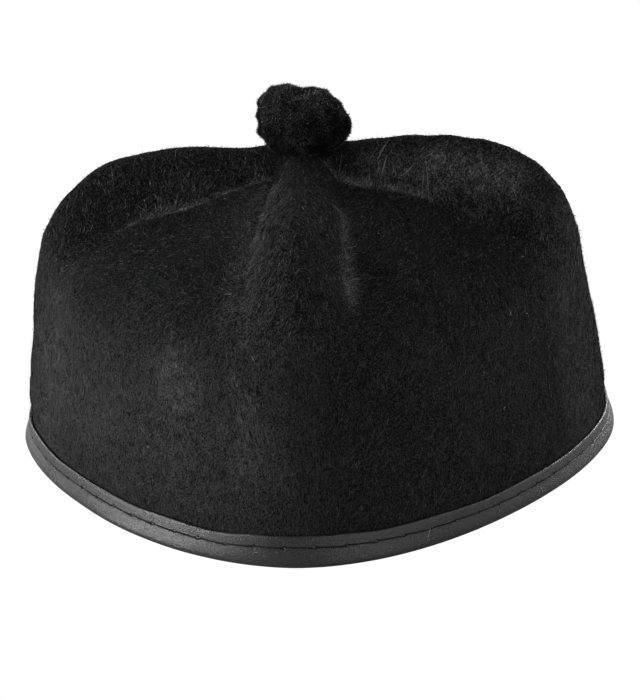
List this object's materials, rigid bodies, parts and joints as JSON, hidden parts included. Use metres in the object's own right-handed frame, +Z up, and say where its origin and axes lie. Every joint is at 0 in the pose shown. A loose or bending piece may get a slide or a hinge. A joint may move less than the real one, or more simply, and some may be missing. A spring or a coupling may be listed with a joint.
{
  "type": "biretta-style clerical cap",
  "caption": "Black moulded felt cap with ridges running from a centre pompom to its sides and front, its lower edge bound in leatherette.",
  "frame": {"origin": "middle of the rim, in the plane that the cap rests on", "axes": "+Z up towards the pompom, -Y towards the wearer's face along the front ridge, +X to the viewer's right as the front is seen"},
  "size_m": [0.1848, 0.202, 0.117],
  "materials": {
    "felt": "black needled felt, matt, fibres all over",
    "leatherette": "black satin leatherette with a fine grain, one line of stitching",
    "wool": "black short wool pile, deep matt"
  },
  "bodies": {
    "root": {"crown": "felt", "edge_binding": "leatherette", "pompom": "wool"}
  },
  "joints": []
}
